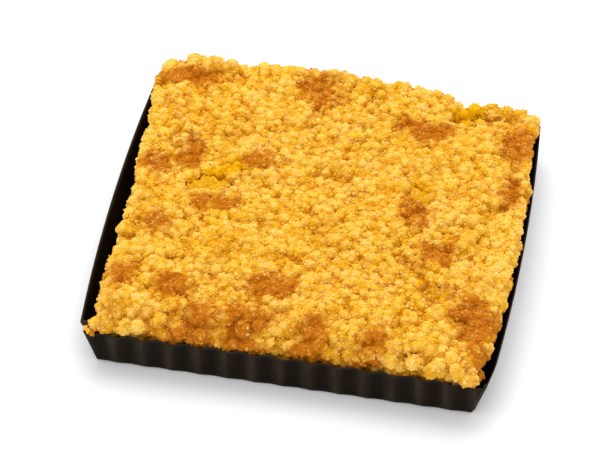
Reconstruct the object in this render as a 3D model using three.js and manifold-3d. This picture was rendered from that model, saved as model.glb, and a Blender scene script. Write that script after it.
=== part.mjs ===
// A square lemon crumble tart in its own thin, dark, fluted baking tray.
// Millimetres. X runs along the fluted front wall, Y to the back, Z up.
// The origin lies under the tray's middle, on the surface that it stands on.

import * as THREE from 'three';
import { mergeVertices } from 'three/addons/utils/BufferGeometryUtils.js';
import Module from 'manifold-3d';

// Tray: rim size from corner to corner, board thickness and how far the walls lean out
const trayWidth = 230;
const trayHeight = 26;
const board = 0.6;
const sideFlare = 6;
const endFlare = 4.5;
const footRound = 1.2;

// Side walls bulge out halfway along and stand off at the rim, end walls draw in
const sideBowRim = 4.7;
const sideBowFoot = 2.5;
const sideStandOff = 1.7;
const endBowRim = 1.5;

// Flutes of the front and back wall, deep at the rim and nearly gone at the foot.
// They are rounded where they turn in and sharper where they turn out.
const flutePitch = 15.9;
const fluteCount = 13;
const fluteRim = 1.05;
const fluteFoot = 0.3;
const fluteSharpness = 1.4;
const stepsPerFlute = 6;

// Corners: the end wall turns the corner and ends inside the side wall, close to the corner
// at the front right and back left, further along at the other two. At the close ones the
// side wall stands off less and less.
const cornerRadius = 2;
const cornerSteps = 3;
const lapDepth = 0.7;
const shortLap = 2.8;
const longLap = 8;
const lapOverlap = 2;
const standOffFade = [-2, 22];
const sideSteps = 16;

// Crumble: heights over the foot, clearance to the tray and rounding of its shoulders.
// Zones are given from 0 in the middle to 1 at a wall.
const floorGap = 0.4;
const wallGap = 0.7;
const frontEdge = 37;
const backEdge = 45;
const crownHeight = 44.5;
const crownRise = 2;
const frontReach = 12;
const backReach = 5;
const sideReach = 9;
const cornerPower = 3;
const leftShrink = 2.4;
const leftWidens = [0.5, 1];
const cornerHollow = 3.9;
const cornerZone = [0.8, 0.95];
const cornerPull = 0.012;
const cornerPullPower = 8;
const rimClear = 0.4;
const overhang = 1.4;
const frontOverhang = 0.7;
const overhangRise = 3;
const frontLean = 0.045;
const rightBow = 6.3;
const gridSteps = 57;
const gridCrowding = 1.12;
const footTaper = 0.985;
const roundIn = 0.01;

// Clumps of crumble: spacing and height in millimetres, radii and rises as shares of them
const clumpPitch = 12.5;
const clumpRise = 5;
const clumpJitter = 11;
const clumpRadii = [0.55, 0.85];
const clumpRises = [0.6, 1];
const sideRelief = 0.5;
const sideRowShift = 25;
const lumpFlatness = 0.9;
const lumpSwell = [0.82, 1.1];

// Lemon curd
const poolGap = 0.35;
const poolDepth = 6;
const poolTaper = 1.8;
const skinSwell = 1;
const mouthFlare = 5;
const poolSides = 18;
const poolWaves = [0.14, 0.09];
const poolMargin = 2;

const weld = 1e-4;
const halfTray = trayWidth / 2;
const endSteps = Math.round(trayWidth / flutePitch * stepsPerFlute);

const trayMaterial = new THREE.MeshStandardMaterial({ color: 0x2e2721, roughness: 0.5, metalness: 0 });
const crumbleMaterial = new THREE.MeshStandardMaterial({ color: 0xedb04a, roughness: 0.85, metalness: 0 });
const curdMaterial = new THREE.MeshStandardMaterial({ color: 0xf2b705, roughness: 0.25, metalness: 0 });

const wasm = await Module();
wasm.setup();

const { lerp, clamp, smoothstep } = THREE.MathUtils;

// Seeded random numbers, the same on every run
function seededRandom(seed) {
  let state = seed;
  return () => {
    state = (state * 16807) % 2147483647;
    return state / 2147483647;
  };
}

// One welded surface from a list of triangles, each three points
function surface(triangles) {
  const loose = new THREE.BufferGeometry().setFromPoints(triangles.flat());
  return mergeVertices(loose, weld);
}

function quad(triangles, a, b, c, d) {
  triangles.push([a, b, c], [a, c, d]);
}

// A band of faces between two closed rings of equal count, seen from outside as they rise
function band(triangles, lower, upper) {
  lower.forEach((point, i) => {
    const next = (i + 1) % lower.length;
    quad(triangles, point, lower[next], upper[next], upper[i]);
  });
}

// A flat cap over a closed ring, facing up or down
function cap(triangles, ring, facesUp) {
  const middle = new THREE.Vector3(0, 0, 0);
  ring.forEach((point) => middle.add(point));
  middle.divideScalar(ring.length);
  ring.forEach((point, i) => {
    const next = ring[(i + 1) % ring.length];
    triangles.push(facesUp ? [middle, point, next] : [middle, next, point]);
  });
}

function toSolid(geometry) {
  const bare = geometry.clone();
  bare.deleteAttribute('normal');
  bare.deleteAttribute('uv');
  const welded = mergeVertices(bare, weld);
  return new wasm.Manifold(new wasm.Mesh({
    numProp: 3,
    vertProperties: new Float32Array(welded.attributes.position.array),
    triVerts: new Uint32Array(welded.index.array),
  }));
}

function toGeometry(solid) {
  const { vertProperties, triVerts } = solid.getMesh();
  const geometry = new THREE.BufferGeometry();
  geometry.setAttribute('position', new THREE.BufferAttribute(new Float32Array(vertProperties), 3));
  geometry.setIndex(new THREE.BufferAttribute(new Uint32Array(triVerts), 1));
  return geometry;
}

// Half sizes of the tray's outer face at a rise of 0 at the foot to 1 at the rim
function trayHalf(rise) {
  return {
    x: halfTray - sideFlare * (1 - rise),
    y: halfTray - endFlare * (1 - rise),
    sideBow: lerp(sideBowFoot, sideBowRim, rise),
    standOff: sideStandOff * rise,
    endBow: endBowRim * rise,
    flute: lerp(fluteFoot, fluteRim, rise),
  };
}

// The wavy line of an end wall: how far a point lies inside the straight line at x
function endWallInset(x, half) {
  const fluteSpan = fluteCount * flutePitch / 2;
  const fade = 1 - smoothstep(Math.abs(x), fluteSpan, fluteSpan + flutePitch / 2);
  const wave = 2 * Math.abs(Math.cos(Math.PI * (x + fluteSpan) / flutePitch)) ** fluteSharpness - 1;
  return half.endBow * (1 - (x / half.x) ** 2) + half.flute * wave * fade;
}

// One closed ring of the tray, counterclockwise from the front left corner
function trayRing(rise, z, inset, overlap) {
  const half = trayHalf(rise);
  const radius = cornerRadius - inset;
  const endX = half.x - lapDepth - inset;
  const endY = half.y - inset;
  const straight = endX - radius;
  const lapStart = -(half.y - shortLap - overlap);
  const lapEnd = half.y - longLap - overlap;
  const sideX = (y) => half.x - inset + half.sideBow * (1 - (y / half.y) ** 2)
    + half.standOff * smoothstep(y + half.y, ...standOffFade);
  const halfRing = [];
  for (let i = 0; i <= endSteps; i++) {
    const x = lerp(-straight, straight, i / endSteps);
    halfRing.push([x, -(endY - endWallInset(x, half))]);
  }
  for (let i = 1; i <= cornerSteps; i++) {
    const angle = Math.PI / 2 * i / cornerSteps;
    halfRing.push([straight + radius * Math.sin(angle), -(endY - radius + radius * Math.cos(angle))]);
  }
  halfRing.push([endX, lapStart]);
  for (let i = 0; i <= sideSteps; i++) {
    const y = lerp(lapStart, lapEnd, i / sideSteps);
    halfRing.push([sideX(y), y]);
  }
  halfRing.push([endX, lapEnd]);
  for (let i = cornerSteps; i >= 1; i--) {
    const angle = Math.PI / 2 * i / cornerSteps;
    halfRing.push([straight + radius * Math.sin(angle), endY - radius + radius * Math.cos(angle)]);
  }
  const otherHalf = halfRing.map(([x, y]) => [-x, -y]);
  return [...halfRing, ...otherHalf].map(([x, y]) => new THREE.Vector3(x, y, z));
}

// The tray: rounded foot, outer wall, rim edge, inner wall and floor
function makeTray() {
  const foot = trayRing(0, 0, footRound, 0);
  const wallStart = trayRing(0, footRound, 0, 0);
  const rim = trayRing(1, trayHeight, 0, 0);
  const innerRim = trayRing(1, trayHeight, board, lapOverlap);
  const innerStart = trayRing(0, footRound + board, board, lapOverlap);
  const floor = trayRing(0, board, footRound + board, lapOverlap);
  const triangles = [];
  cap(triangles, foot, false);
  band(triangles, foot, wallStart);
  band(triangles, wallStart, rim);
  band(triangles, rim, innerRim);
  band(triangles, innerRim, innerStart);
  band(triangles, innerStart, floor);
  cap(triangles, floor, true);
  return surface(triangles);
}

// Rounded clumps on a jittered grid, each with its own radius and rise
function makeClumps() {
  const random = seededRandom(411);
  const clumps = [];
  const reach = halfTray + sideBowRim;
  for (let x = -reach; x <= reach; x += clumpPitch) {
    for (let y = -reach; y <= reach; y += clumpPitch) {
      clumps.push({
        x: x + (random() - 0.5) * clumpJitter,
        y: y + (random() - 0.5) * clumpJitter,
        radius: clumpPitch * lerp(...clumpRadii, random()),
        rise: clumpRise * lerp(...clumpRises, random()),
      });
    }
  }
  return clumps;
}

const clumps = makeClumps();

function clumpHeight(x, y) {
  let height = 0;
  for (const clump of clumps) {
    const near = 1 - ((x - clump.x) ** 2 + (y - clump.y) ** 2) / clump.radius ** 2;
    if (near > 0) {
      height = Math.max(height, clump.rise * Math.sqrt(near));
    }
  }
  return height;
}

// How far the crumble's side lies behind its clumps, along a wall and at a height.
// Each wall, 1 to 4 in number, looks at its own rows of clumps.
function sideHollow(along, z, wall) {
  const bulge = clumpHeight(along, z - trayHeight + (wall - 2.5) * sideRowShift);
  return sideRelief * (clumpRise - bulge) * smoothstep(z, trayHeight - clumpPitch, trayHeight);
}

// Plan position of the crumble: u and v run from -1 to 1 between its sides, at a height z
function crumblePlan(u, v, z) {
  const rise = clamp(z / trayHeight, 0, 1);
  const half = trayHalf(rise);
  const overRim = Math.max(z - trayHeight, 0);
  const freeOfRim = smoothstep(overRim, rimClear, overhangRise);
  const swell = overhang * freeOfRim - roundIn * overRim ** 2;
  const endSwell = v < 0 ? frontOverhang * freeOfRim - frontLean * overRim ** 2 : swell;
  const cornerGap = cornerHollow * smoothstep(Math.abs(v), ...cornerZone) * (1 - freeOfRim);
  const straight = leftShrink * (1 - smoothstep(v, ...leftWidens)) * rise;
  const alongWall = u < 0 ? -straight : lerp(sideBowFoot, rightBow, rise) * (1 - v * v);
  const sideWall = half.x - board - wallGap - cornerGap + alongWall + swell;
  const sideHalf = sideWall - sideHollow(v * halfTray, z, u < 0 ? 2 : 3);
  const endWall = half.y - board - half.endBow * (1 - u * u) - half.flute - wallGap + endSwell;
  const endHalf = endWall - sideHollow(u * halfTray, z, v < 0 ? 1 : 4);
  return new THREE.Vector2(
    u * sideHalf * (1 - cornerPull * v ** cornerPullPower),
    v * endHalf * (1 - cornerPull * u ** cornerPullPower),
  );
}

// Places where the crumble lies lower or higher than its even crown: x, y, reach in X and Y, height
const undulations = [
  { x: 92, y: 112, reachX: 38, reachY: 30, height: -11 },
  { x: 112, y: -20, reachX: 22, reachY: 90, height: -2.5 },
  { x: -112, y: -112, reachX: 26, reachY: 26, height: -3 },
  { x: 104, y: -108, reachX: 30, reachY: 26, height: -5 },
  { x: -112, y: 108, reachX: 14, reachY: 24, height: -4 },
  { x: -50, y: 110, reachX: 60, reachY: 24, height: 2 },
  { x: 10, y: 110, reachX: 50, reachY: 24, height: 3.5 },
  { x: -61, y: 112, reachX: 6, reachY: 10, height: -3.5 },
  { x: 73, y: 108, reachX: 10, reachY: 12, height: -3 },
  { x: -64, y: 8, reachX: 26, reachY: 14, height: -3 },
  { x: 58, y: 20, reachX: 16, reachY: 12, height: -2.5 },
  { x: -34, y: -74, reachX: 12, reachY: 9, height: -3 },
  { x: 76, y: -57, reachX: 14, reachY: 10, height: -2 },
];

// Long shallow valleys between ridges of crumble: middle, length, width, heading and depth
const valleys = [
  { x: 0, y: 20, length: 62, width: 7, heading: 0.35, depth: 2.6 },
  { x: 6, y: 38, length: 22, width: 6, heading: 1.0, depth: 2.2 },
  { x: -20, y: 84, length: 52, width: 8, heading: 0.9, depth: 2.2 },
  { x: -6, y: -66, length: 60, width: 7, heading: 0.55, depth: 2.4 },
  { x: 60, y: 58, length: 54, width: 8, heading: 0.1, depth: 2.0 },
  { x: -72, y: -40, length: 48, width: 7, heading: 0.25, depth: 1.8 },
];

function valleyDepth(valley, x, y) {
  const dx = x - valley.x;
  const dy = y - valley.y;
  const along = dx * Math.cos(valley.heading) + dy * Math.sin(valley.heading);
  const across = dy * Math.cos(valley.heading) - dx * Math.sin(valley.heading);
  return valley.depth * Math.exp(-((along / valley.length * 2) ** 2) - (across / valley.width) ** 2);
}

// The crumble's level without its clumps
function crumbleLevel(u, v) {
  const plan = crumblePlan(u, v, frontEdge);
  const toSide = 1 - clamp((1 - Math.abs(u)) * halfTray / sideReach, 0, 1);
  const toEnd = 1 - clamp((1 - Math.abs(v)) * halfTray / (v < 0 ? frontReach : backReach), 0, 1);
  const toEdge = Math.min((toSide ** cornerPower + toEnd ** cornerPower) ** (1 / cornerPower), 1);
  const shoulder = Math.sqrt(1 - toEdge ** 2);
  const edge = lerp(frontEdge, backEdge, (v + 1) / 2);
  let height = lerp(edge, crownHeight, shoulder) + crownRise * (1 - u * u) * (1 - v * v);
  for (const part of undulations) {
    const away = ((plan.x - part.x) / part.reachX) ** 2 + ((plan.y - part.y) / part.reachY) ** 2;
    height += part.height * Math.exp(-away);
  }
  for (const valley of valleys) {
    height -= valleyDepth(valley, plan.x, plan.y);
  }
  return height - clumpRise;
}

function crumbleTop(u, v) {
  const plan = crumblePlan(u, v, frontEdge);
  return new THREE.Vector3(plan.x, plan.y, crumbleLevel(u, v) + clumpHeight(plan.x, plan.y));
}

// The border of the u, v square, counterclockwise from the front left corner
function gridBorder() {
  const border = [];
  for (let i = 0; i < gridSteps; i++) {
    border.push([gridValue(i), -1]);
  }
  for (let i = 0; i < gridSteps; i++) {
    border.push([1, gridValue(i)]);
  }
  for (let i = gridSteps; i > 0; i--) {
    border.push([gridValue(i), 1]);
  }
  for (let i = gridSteps; i > 0; i--) {
    border.push([-1, gridValue(i)]);
  }
  return border;
}

// Grid lines stand a little closer near the edges
function gridValue(i) {
  const even = 2 * i / gridSteps - 1;
  return Math.sign(even) * (1 - (1 - Math.abs(even)) ** gridCrowding);
}

function sideRing(border, z) {
  return border.map(([u, v]) => {
    const plan = crumblePlan(u, v, z);
    return new THREE.Vector3(plan.x, plan.y, z);
  });
}

// The crumble's own body, from the tray's floor to its clumped top
function makeCrumbleBody() {
  const border = gridBorder();
  const base = board + floorGap;
  const edge = border.map(([u, v]) => crumbleTop(u, v));
  const drawnIn = new THREE.Vector3(footTaper, footTaper, 1);
  const foot = sideRing(border, base).map((point) => point.multiply(drawnIn));
  const heel = sideRing(border, base + footRound);
  const rimLevel = sideRing(border, trayHeight + rimClear);
  const upper = border.map(([u, v], i) => {
    const z = (trayHeight + edge[i].z) / 2;
    const plan = crumblePlan(u, v, z);
    return new THREE.Vector3(plan.x, plan.y, z);
  });
  const triangles = [];
  cap(triangles, foot, false);
  band(triangles, foot, heel);
  band(triangles, heel, rimLevel);
  band(triangles, rimLevel, upper);
  band(triangles, upper, edge);
  for (let i = 0; i < gridSteps; i++) {
    for (let j = 0; j < gridSteps; j++) {
      const [u0, u1] = [gridValue(i), gridValue(i + 1)];
      const [v0, v1] = [gridValue(j), gridValue(j + 1)];
      quad(triangles, crumbleTop(u0, v0), crumbleTop(u1, v0), crumbleTop(u1, v1), crumbleTop(u0, v1));
    }
  }
  return toSolid(surface(triangles));
}

// Lumps that show one by one: on the front slope, in the front corners and on the back edge
const namedLumps = [
  { x: 98, y: -108.5, z: 32.5, radius: 6 },
  { x: 88, y: -107.5, z: 33, radius: 5.5 },
  { x: 105.5, y: -110, z: 31, radius: 4.6 },
  { x: 107.5, y: -103, z: 33, radius: 5.2 },
  { x: 50, y: -106.5, z: 33.5, radius: 5.5, long: 1.4, turn: 0.8 },
  { x: 61, y: -104.5, z: 36, radius: 5, long: 1.4, turn: 1.2 },
  { x: -104, y: -108, z: 32.5, radius: 5.5 },
  { x: -109, y: -110.5, z: 30.6, radius: 4 },
  { x: 73, y: 103.5, z: 32, radius: 6 },
  { x: -51, y: 107.5, z: 42.5, radius: 5 },
  { x: 42, y: 106, z: 40, radius: 6 },
];

// One knobbly lump, uneven in size and partly sunk in the crumble
function lumpSolid(lump, random) {
  const ball = new THREE.IcosahedronGeometry(lump.radius, 1);
  ball.deleteAttribute('normal');
  ball.deleteAttribute('uv');
  const welded = mergeVertices(ball, weld);
  const position = welded.attributes.position;
  for (let i = 0; i < position.count; i++) {
    const swell = lerp(...lumpSwell, random());
    position.setXYZ(i, position.getX(i) * swell, position.getY(i) * swell, position.getZ(i) * swell);
  }
  welded.scale(lump.long ?? 1, 1, lumpFlatness);
  welded.rotateZ(lump.turn ?? random() * Math.PI);
  welded.translate(lump.x, lump.y, lump.z);
  return toSolid(welded);
}

// Curd that wells up between the clumps: middle, half lengths, heading and surface height
const curdPools = [
  { name: 'curd_back', x: 73, y: 94, halfLong: 7, halfWide: 5, heading: 0.2 },
  { name: 'curd_left', x: -66, y: 6, halfLong: 13, halfWide: 6, heading: 0.25 },
  { name: 'curd_right', x: 57, y: 20, halfLong: 8, halfWide: 5, heading: -0.5 },
  { name: 'curd_front', x: 75, y: -58, halfLong: 7, halfWide: 4, heading: 0.6 },
];

function poolLevel(pool) {
  let lowest = Infinity;
  for (let i = 0; i <= gridSteps; i++) {
    for (let j = 0; j <= gridSteps; j++) {
      const top = crumbleTop(gridValue(i), gridValue(j));
      if (Math.hypot(top.x - pool.x, top.y - pool.y) < pool.halfWide + poolMargin) {
        lowest = Math.min(lowest, top.z);
      }
    }
  }
  return lowest;
}

// Closed ring round a pool, uneven and grown by a margin
function poolRing(pool, margin, z) {
  const ring = [];
  for (let i = 0; i < poolSides; i++) {
    const angle = 2 * Math.PI * i / poolSides;
    const uneven = 1 + poolWaves[0] * Math.sin(3 * angle + pool.x)
      + poolWaves[1] * Math.sin(5 * angle + pool.y);
    const along = (pool.halfLong * uneven + margin) * Math.cos(angle);
    const across = (pool.halfWide * uneven + margin) * Math.sin(angle);
    const x = pool.x + along * Math.cos(pool.heading) - across * Math.sin(pool.heading);
    const y = pool.y + along * Math.sin(pool.heading) + across * Math.cos(pool.heading);
    ring.push(new THREE.Vector3(x, y, z));
  }
  return ring;
}

// The hollow that a pool fills, opening upward through the crumble
function poolHollow(pool, level) {
  const bottom = poolRing(pool, poolGap - poolTaper, level - poolDepth - poolGap);
  const waist = poolRing(pool, poolGap, level - skinSwell);
  const mouth = poolRing(pool, poolGap + mouthFlare, level + clumpPitch);
  const triangles = [];
  cap(triangles, bottom, false);
  band(triangles, bottom, waist);
  band(triangles, waist, mouth);
  cap(triangles, mouth, true);
  return toSolid(surface(triangles));
}

// The curd itself, with a slightly swollen skin
function poolGeometry(pool, level) {
  const bottom = poolRing(pool, -poolTaper, level - poolDepth);
  const edge = poolRing(pool, 0, level - skinSwell);
  const skin = poolRing(pool, -poolTaper, level);
  const triangles = [];
  cap(triangles, bottom, false);
  band(triangles, bottom, edge);
  band(triangles, edge, skin);
  cap(triangles, skin, true);
  return surface(triangles);
}

function namedMesh(name, geometry, material) {
  geometry.computeVertexNormals();
  const mesh = new THREE.Mesh(geometry, material);
  mesh.name = name;
  return mesh;
}

function makeTart() {
  const tart = new THREE.Group();
  tart.add(namedMesh('tray', makeTray(), trayMaterial));
  const random = seededRandom(97);
  let crumble = makeCrumbleBody();
  for (const lump of namedLumps) {
    crumble = crumble.add(lumpSolid(lump, random));
  }
  for (const pool of curdPools) {
    const level = poolLevel(pool);
    crumble = crumble.subtract(poolHollow(pool, level));
    tart.add(namedMesh(pool.name, poolGeometry(pool, level), curdMaterial));
  }
  tart.add(namedMesh('crumble', toGeometry(crumble), crumbleMaterial));
  return tart;
}

const tart = makeTart();

export default tart;
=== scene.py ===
# The looks of a square lemon crumble tart in its own thin, dark, fluted baking tray.
# Lengths are in millimetres up to the point where a mesh is made. MM turns them into metres.
# X runs along the fluted front wall, Y to the back, Z up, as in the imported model.

import math

import bmesh
import bpy
import numpy as np
from mathutils import Matrix, Vector, noise
from mathutils.kdtree import KDTree


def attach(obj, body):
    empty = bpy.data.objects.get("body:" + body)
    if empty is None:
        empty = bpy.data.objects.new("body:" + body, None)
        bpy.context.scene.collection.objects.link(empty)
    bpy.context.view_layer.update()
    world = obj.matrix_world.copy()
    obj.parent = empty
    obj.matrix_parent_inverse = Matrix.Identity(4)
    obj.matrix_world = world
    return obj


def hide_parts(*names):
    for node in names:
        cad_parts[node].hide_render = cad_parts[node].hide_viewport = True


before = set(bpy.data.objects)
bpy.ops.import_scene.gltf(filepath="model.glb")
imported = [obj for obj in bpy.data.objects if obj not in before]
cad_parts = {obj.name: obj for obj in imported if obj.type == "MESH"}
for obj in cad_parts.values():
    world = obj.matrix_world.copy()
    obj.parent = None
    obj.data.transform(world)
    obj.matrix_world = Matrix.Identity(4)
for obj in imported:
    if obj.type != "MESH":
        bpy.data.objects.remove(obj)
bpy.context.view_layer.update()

MM = 0.001
BODY = "root"

# Camera: the photograph's own view, worked out from the tray's rim and foot corners
CAMERA_TARGET = Vector((-10.65, 1.96, 18.75))
CAMERA_AZIMUTH = math.radians(9.182)
CAMERA_ELEVATION = math.radians(44.092)
CAMERA_ROLL = math.radians(1.411)
CAMERA_DISTANCE = 2017.4
CAMERA_LENS = 207.0
SENSOR_WIDTH = 36.0
CAMERA_REACH = 20

# Brightness of the room, in front of the tart and behind it, and the directions where it changes
ROOM_BRIGHTNESS = (1.07, 0.93)
ROOM_TURN = (-0.9, 0.5)

# Soft lights: place and width in metres, and power
LIGHTS = (
    ("key", (-0.12, 1.0, 1.7), 1.8, 24.5),
    ("left side", (-1.5, -0.6, 0.8), 0.7, 2),
)

# Floor: half its width, and how far it lies under the tray
FLOOR_HALF = 4000.0
FLOOR_DROP = 0.05

# Tray: the same sizes as the solid's, with finer steps
TRAY_WIDTH = 230.0
TRAY_HEIGHT = 26.0
BOARD = 0.6
SIDE_FLARE = 6.0
END_FLARE = 4.5
FOOT_ROUND = 1.2
SIDE_BOW_RIM = 4.7
SIDE_BOW_FOOT = 2.5
SIDE_STAND_OFF = 1.7
END_BOW_RIM = 1.5
FLUTE_PITCH = 15.9
FLUTE_COUNT = 13
FLUTE_RIM = 1.05
FLUTE_FOOT = 0.3
FLUTE_SHARPNESS = 1.4
CORNER_RADIUS = 2.0
LAP_DEPTH = 0.7
SHORT_LAP = 2.8
LONG_LAP = 8.0
LAP_OVERLAP = 2.0
STAND_OFF_FADE = (-2.0, 22.0)
STEPS_PER_FLUTE = 16
CORNER_STEPS = 8
SIDE_STEPS = 72
WALL_LEVELS = 12
HALF_TRAY = TRAY_WIDTH / 2
FLUTE_SPAN = FLUTE_COUNT * FLUTE_PITCH / 2

# Painted light on the walls: lighter bands that lie a little to the left of where the folds turn out, on
# the flanks that face the light
LIT_FLANK_SHIFT = 2.2
LIT_FLANK_SHARPNESS = 1.5

# Height of the rim's paler cut edge, and how far inside the end walls' foot their bands of painted light
# fade
CUT_EDGE = 0.3
END_WALL_FADE = (5, 4)

# Crumble core: depth under the solid's skin, mesh size and smoothing
CORE_DEPTH = 1.6
CORE_VOXEL = 0.85
CORE_SMOOTHING = 6
WELD_DISTANCE = 0.005
LUMP_STEPS = 3

# The core is cut at a height in the tray and closed down to a plain foot
CORE_CUT = 18.0
CORE_FOOT = 1.1
NEAR_FOOT = 1
NEAR_RIM = 2

# Heights over which the relief, and what moves the slopes, set in above the cut
RELIEF_START = (CORE_CUT + 0.2, CORE_CUT + 2)
SLOPE_START = (CORE_CUT + 0.2, CORE_CUT + 4)

# The core's strips from front to back, with where each ends along Y
CORE_STRIPS = (("crumble_front", -39.0), ("crumble_middle", 38.0), ("crumble_back", 200.0))

# Height over which the relief is flattened, and the share of it that stays
CORE_TOP = (45.3, 0.5)

# Gap to the tray's walls, how far under the rim what hangs over it is lifted onto it,
# and the height over the rim from which a crumb may stand outside the walls
WALL_GAP = 0.15
RIM_REST = 4.0
RIM_CLEARANCE = 1.2

# Winding creases between the clumps: size of the clumps, width in noise, depth and step across them
CREASES = (
    {"size": 27.0, "shift": 4.4, "width": 0.055, "depth": 2.6, "step": 1.3},
    {"size": 13.0, "shift": 9.7, "width": 0.08, "depth": 1.9, "step": 1.2},
    {"size": 6.5, "shift": 15.3, "width": 0.1, "depth": 1.3, "step": 0.6},
)

# Where the creases break off: size as a share of the clumps' and where the noise fades them
CREASE_BREAKS = {"size": 0.7, "shift": 20, "fade": (-0.25, 0.2)}

# Broad swell of the core: size, shift of the noise and height
SWELL = {"size": 10.0, "shift": 5.5, "height": 1.0}

# Apron of the front slope: how far it comes out over the rim, where it starts along Y,
# ends in Z and fades at the corners
APRON_REACH = 1.3
APRON_START = (104.0, 108.0)
APRON_END = (27.0, 32.0)
APRON_CORNERS = (104, 112)

# How much nearer to the wall the crumble's left side comes towards the back, and where in X and Y
LEFT_SHIFT = 2.6
LEFT_SIDE = (92, 106)
LEFT_START = (-5.0, 45.0)
LEFT_END = (90.0, 112.0)

# Heads fused into the core. Spacing and rise are shares of the radius.
HEADS = {"radii": (1.7, 3.8), "skew": 1.2, "tries": 35000, "spacing": 1.15, "rise": 0.3, "pit": 0.7}
LOWEST_HEAD = CORE_CUT + 1
NEAREST_HEADS = 5

# Small crumbs that cover the core, one piece for each range of radii. Spacing is a share of the radius.
CRUMB_SIZES = (
    ("crumbs_finest", 0.55, 0.63), ("crumbs_small", 0.63, 0.77), ("crumbs_medium", 0.77, 1.0),
    ("crumbs_large", 1.0, 1.3),
)
CRUMB_TRIES = 150000
CRUMB_SKEW = 1.6
CRUMB_SPACING = 1.6
CRUMB_SUNK = 0.66
LOWEST_CRUMB = TRAY_HEIGHT - 2

# Where crumbs are missing: on the crease lines, and the share of them where curd soaks through
OPEN_CREASE = (0.75, 1.2)
MISSING_WHERE_SOAKED = 0.5

# Lumps at the back right corner, on the front slope and at the front corners: middle and radius
LUMPS = (
    (112.0, 103.4, 30.2, 6.0), (105.8, 106.4, 30.8, 6.0), (97.0, 106.8, 31.5, 6.0),
    (113.8, 95.5, 30.0, 5.0), (77.5, 106.5, 32.4, 5.6), (87.5, 106.5, 31.4, 5.4),
    (-103.4, -110.8, 28.4, 3.8), (-98.0, -110.8, 28.8, 3.8), (-91.5, -110.6, 29.2, 4.0),
    (97.6, -110.5, 33.0, 6.0), (107.2, -112.8, 29.6, 4.3), (103.0, -112.4, 29.6, 4.0),
    (102.6, -106.0, 33.2, 5.8), (93.6, -104.0, 35.4, 5.8), (83.5, -110.6, 30.2, 5.2),
    (73.2, -108.2, 32.4, 5.4), (60.0, -109.0, 31.4, 5.0), (56.6, -106.4, 34.0, 4.8),
    (-83.5, -109.6, 31.6, 5.1), (-72.2, -106.0, 35.0, 4.9), (-60.5, -108.2, 31.8, 5.3),
    (-48.4, -108.4, 31.2, 4.3), (-37.4, -107.4, 32.0, 3.1), (-24.9, -101.8, 34.6, 6.7),
    (-12.3, -102.0, 35.0, 4.9), (4.0, -107.4, 31.6, 4.3), (20.0, -106.6, 33.0, 4.7),
    (36.0, -107.6, 31.6, 4.5),
)

# Loose fine grains on the crumbs: radius range, number and how much of the radius is sunk
GRAINS = {"radii": (0.4, 0.65), "count": 2500, "sunk": 0.5}
LOWEST_GRAIN = TRAY_HEIGHT - 1

# Single crumbs on the rim at the front left corner: middle and radius
RIM_CRUMBS = (
    (-112.7, -112.9, 27.9, 1.7), (-110.5, -114.9, 27.9, 1.8), (-108.3, -116.4, 27.8, 1.6),
)
RIM_CRUMB_SUNK = 0.5

# Forms that crumbs and grains share: how many, how lumpy and how far stretched
GRAIN_SHAPES = 12
GRAIN_LUMPINESS = 0.72
GRAIN_LUMP_SCALE = 1.3
GRAIN_NOISE_REACH = 50
GRAIN_STRETCH = (0.82, 1.2)

# Curd: mesh size and smoothing, how far its skin swells to meet the core, how far it then sinks,
# and its lumps as size, shift of the noise and height
GEL_VOXEL = 0.6
GEL_SMOOTHING = 6
GEL_SWELL = 1.7
GEL_DROP = 3.0
GEL_LUMPS = ((4.5, 2.2, 1.8), (1.8, 9.1, 0.8))

# Size of the granules in the crumble's material
GRANULE = 1.5

# Random seeds of the scattered things
HEAD_SEED = 5
CRUMB_SEED = 31
GRAIN_SEED = 24
RIM_SEED = 25

# Light and dark of the crumble, fine and broad: size and shift of the noise
TINT_FINE = (4, 6.6)
TINT_BROAD = (24, 12.6)
TINT_BROAD_SHARE = 0.5

# How much each crumb differs: fine tint, random tint and random toast
CRUMB_TINT = {"fine": 0.8, "random": 0.25, "toast": 0.3}

# What makes a place count as a pit, on the core and on each crumb; the crumble's colour paints shade into
# the pits
CORE_PAINTED_SHADE = {"everywhere": 0.35, "deep": 0.4, "crease": 0.5}
CRUMB_PAINTED_SHADE = {"underside_shade": 0.2, "deep": 0.4, "crease": 0.55}
UNDERSIDE_SHADE = (-0.8, 0.1)

# Share of a patch's half length where it starts to fade, and where it ends
PATCH_FADE = (0.2, 1.75)

# Ragged edges of the patches: size of the noise, its shifts along X and Y, and reach
TOAST_WANDER = (9, (3.1, 7.7), 7)
SOAK_WANDER = (6, (4.2, 8.8), 6)

# Speckle of the toast: fine and broad noise as size, shift and strength, and the share of both
TOAST_SPECKLE = ((3.2, 1.3, 0.55), (16, 5.9, 0.6))
SPECKLE_SHARE = 0.85
TOAST_EDGE = (0.08, 0.93)

# Toast low down at the rim, partly painted warm shade there, and towards the front: strength and where it
# fades
LOW_TOAST_AND_SHADE = (0.45, TRAY_HEIGHT + 1, TRAY_HEIGHT + 8)
TOAST_IN_FRONT = (0.08, -110, 10)

# Speckle of the soaked places: size, shift and strength
SOAK_SPECKLE = (3, 2.4, 0.4)
SOAK_EDGE = (0.3, 1.0)

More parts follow.
